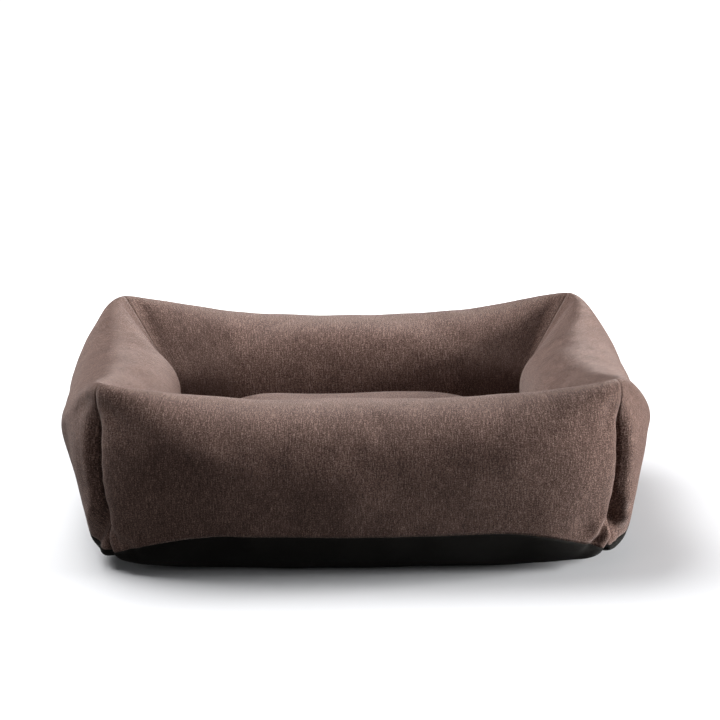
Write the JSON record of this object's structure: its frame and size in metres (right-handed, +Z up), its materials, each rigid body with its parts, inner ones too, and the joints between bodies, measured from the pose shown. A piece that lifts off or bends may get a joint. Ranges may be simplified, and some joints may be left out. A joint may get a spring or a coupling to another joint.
{
  "type": "pet cushion bed",
  "caption": "Box-shaped pet bed with stuffed tweed walls, pointed corners, a black base and a loose crowned cushion in its well.",
  "frame": {"origin": "on the floor, under the middle of the bed", "axes": "+Z up, -Y out of the front wall, +X along the long walls to the right as seen from the front"},
  "size_m": [0.62, 0.52, 0.2],
  "materials": {
    "tweed": "matte",
    "base_cloth": "matte",
    "lining_cloth": "matte",
    "ticking": "matte",
    "fibre_fill": "matte",
    "zip_tape": "matte",
    "zip_coil": "satin",
    "zip_metal": "satin"
  },
  "bodies": {
    "bed": {"front_wall_cover": "tweed", "front_bolster_bag": "ticking", "front_bolster_fill": "fibre_fill", "right_wall_cover": "tweed", "right_bolster_bag": "ticking", "right_bolster_fill": "fibre_fill", "back_wall_cover": "tweed", "back_bolster_bag": "ticking", "back_bolster_fill": "fibre_fill", "left_wall_cover": "tweed", "left_bolster_bag": "ticking", "left_bolster_fill": "fibre_fill", "base_panel": "base_cloth", "well_lining": "lining_cloth", "bed_zip_upper_tape": "zip_tape", "bed_zip_upper_coil": "zip_coil", "bed_zip_lower_tape": "zip_tape", "bed_zip_lower_coil": "zip_coil", "bed_zip_stops": "zip_metal"},
    "cushion": {"cushion_top_cover": "tweed", "cushion_bottom_cover": "tweed", "cushion_bag": "ticking", "cushion_fill": "fibre_fill", "cushion_zip_upper_tape": "zip_tape", "cushion_zip_upper_coil": "zip_coil", "cushion_zip_lower_tape": "zip_tape", "cushion_zip_lower_coil": "zip_coil", "cushion_zip_stops": "zip_metal"},
    "bed_zip_slider": {"bed_zip_slider": "zip_metal"},
    "bed_zip_pull": {"bed_zip_pull": "zip_metal"},
    "cushion_zip_slider": {"cushion_zip_slider": "zip_metal"},
    "cushion_zip_pull": {"cushion_zip_pull": "zip_metal"}
  },
  "joints": [
    {"name": "cushion_lift", "type": "slide", "parent": "bed", "child": "cushion", "axis": [0, 0, 1], "range_m": [0, 0.2]},
    {"name": "bed_zip_slide", "type": "slide", "parent": "bed", "child": "bed_zip_slider", "axis": [1, 0, 0], "range_m": [0, 0.2178]},
    {"name": "bed_zip_pull_hinge", "type": "hinge", "parent": "bed_zip_slider", "child": "bed_zip_pull", "pos_m": [-0.1089, 0.25512, 0.04976], "axis": [0, 0.1068, 0.9943], "range_deg": [0, 170]},
    {"name": "cushion_zip_slide", "type": "slide", "parent": "cushion", "child": "cushion_zip_slider", "axis": [1, 0, 0], "range_m": [0, 0.1778]},
    {"name": "cushion_zip_pull_hinge", "type": "hinge", "parent": "cushion_zip_slider", "child": "cushion_zip_pull", "pos_m": [-0.0889, 0.12148, 0.0315], "axis": [0, 0.6056, 0.7958], "range_deg": [0, 170]}
  ]
}
